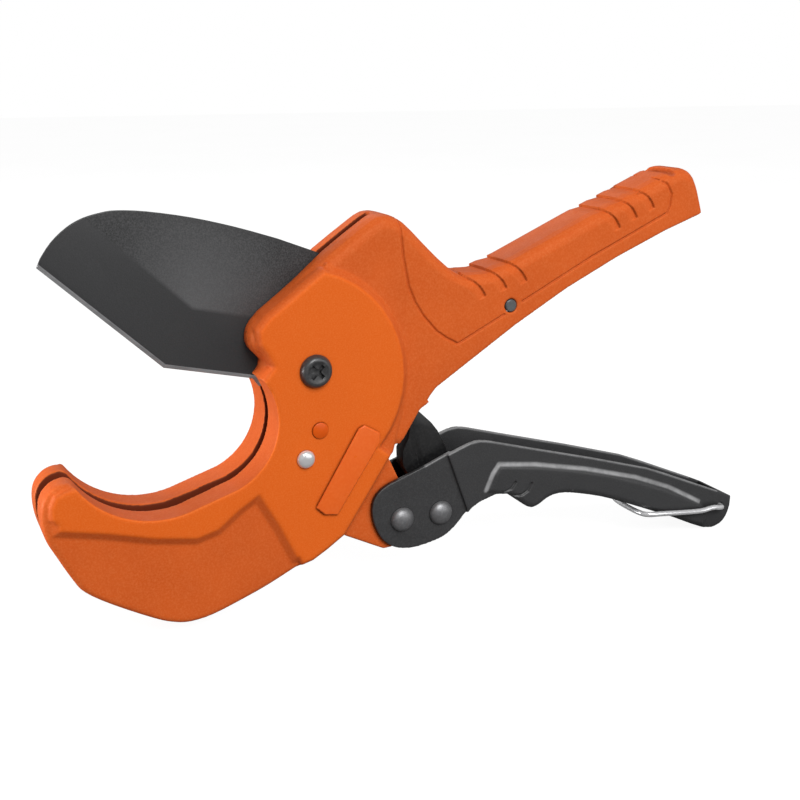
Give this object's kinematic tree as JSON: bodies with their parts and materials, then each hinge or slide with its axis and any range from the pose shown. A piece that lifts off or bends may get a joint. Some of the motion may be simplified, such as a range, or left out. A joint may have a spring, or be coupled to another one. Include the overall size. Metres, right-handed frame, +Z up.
{
  "type": "pipe cutter",
  "caption": "Hand ratchet cutter for plastic pipe: hooked cast jaw, swinging blade with toothed tail, pawl-driven lower handle and wire handle lock.",
  "frame": {"origin": "centre of the whole object's box, tool open as it hangs in the hand; 0.0 in Y is the blade's mid-plane within 0.3 mm", "axes": "+X from the jaw to the handles, +Z up, +Y away from the badge side along the blade pivot"},
  "size_m": [0.372, 0.0428, 0.2],
  "materials": {
    "orange_coat": "aluminium die casting under an orange satin powder coat with a fine grain",
    "badge": "smooth",
    "painted_pin": "smooth enamel",
    "blade_coat": "dark non-stick coating over ground steel",
    "black_coat": "satin black powder coat",
    "black_steel": "blackened steel",
    "dark_steel": "dark zinc plating",
    "bright_steel": "spring steel",
    "chrome": "polished"
  },
  "bodies": {
    "frame": {"frame_casting": "orange_coat", "badge_plate": "badge", "pivot_screw": "dark_steel", "pivot_bush": "bright_steel", "blade_washer_near": "dark_steel", "blade_washer_far": "dark_steel", "pivot_nut_washer": "dark_steel", "pivot_nut": "dark_steel", "stop_pin": "painted_pin", "anchor_pin": "dark_steel", "blade_return_spring": "bright_steel", "holding_pawl_pin": "chrome", "holding_pawl_spacer": "dark_steel", "holding_pawl_spring": "bright_steel", "holding_pin_clip": "dark_steel", "fulcrum_sleeve": "dark_steel", "handle_return_spring": "bright_steel"},
    "blade": {"blade": "blade_coat"},
    "handle": {"lower_handle": "black_coat", "fulcrum_rivet": "dark_steel", "pawl_rivet": "dark_steel", "pawl_spacer": "dark_steel", "drive_pawl_spring": "bright_steel"},
    "drive_pawl": {"drive_pawl": "black_steel"},
    "holding_pawl": {"holding_pawl": "black_steel"},
    "bail": {"lock_bail": "chrome"}
  },
  "joints": [
    {"name": "blade_swing", "type": "hinge", "parent": "frame", "child": "blade", "pos_m": [-0.0634, 0.00021, 0.01847], "axis": [0, -1, 0], "range_deg": [0, 62], "stiffness_Nm_per_rad": 0.3, "springref_deg": -28.65, "deforming": ["blade_return_spring"]},
    {"name": "handle_squeeze", "type": "hinge", "parent": "frame", "child": "handle", "pos_m": [-0.018, 0.00021, -0.06253], "axis": [0, -1, 0], "range_deg": [0, 41], "stiffness_Nm_per_rad": 0.6, "springref_deg": -57.3, "deforming": ["handle_return_spring"]},
    {"name": "drive_pawl_tilt", "type": "hinge", "parent": "handle", "child": "drive_pawl", "pos_m": [0.003, 0.00021, -0.06253], "axis": [0, -1, 0], "range_deg": [-54, 0], "deforming": ["drive_pawl_spring"]},
    {"name": "holding_pawl_lift", "type": "hinge", "parent": "frame", "child": "holding_pawl", "pos_m": [-0.0691, 0.00021, -0.02233], "axis": [0, -1, 0], "range_deg": [-6, 0], "deforming": ["holding_pawl_spring"]},
    {"name": "bail_swing", "type": "hinge", "parent": "handle", "child": "bail", "pos_m": [0.1786, 0.00021, -0.08753], "axis": [0, -1, 0], "range_deg": [0, 250]}
  ],
  "couplings": [
    {"joint": "drive_pawl_tilt", "follows": "handle_squeeze", "ratio": -1.3143}
  ]
}
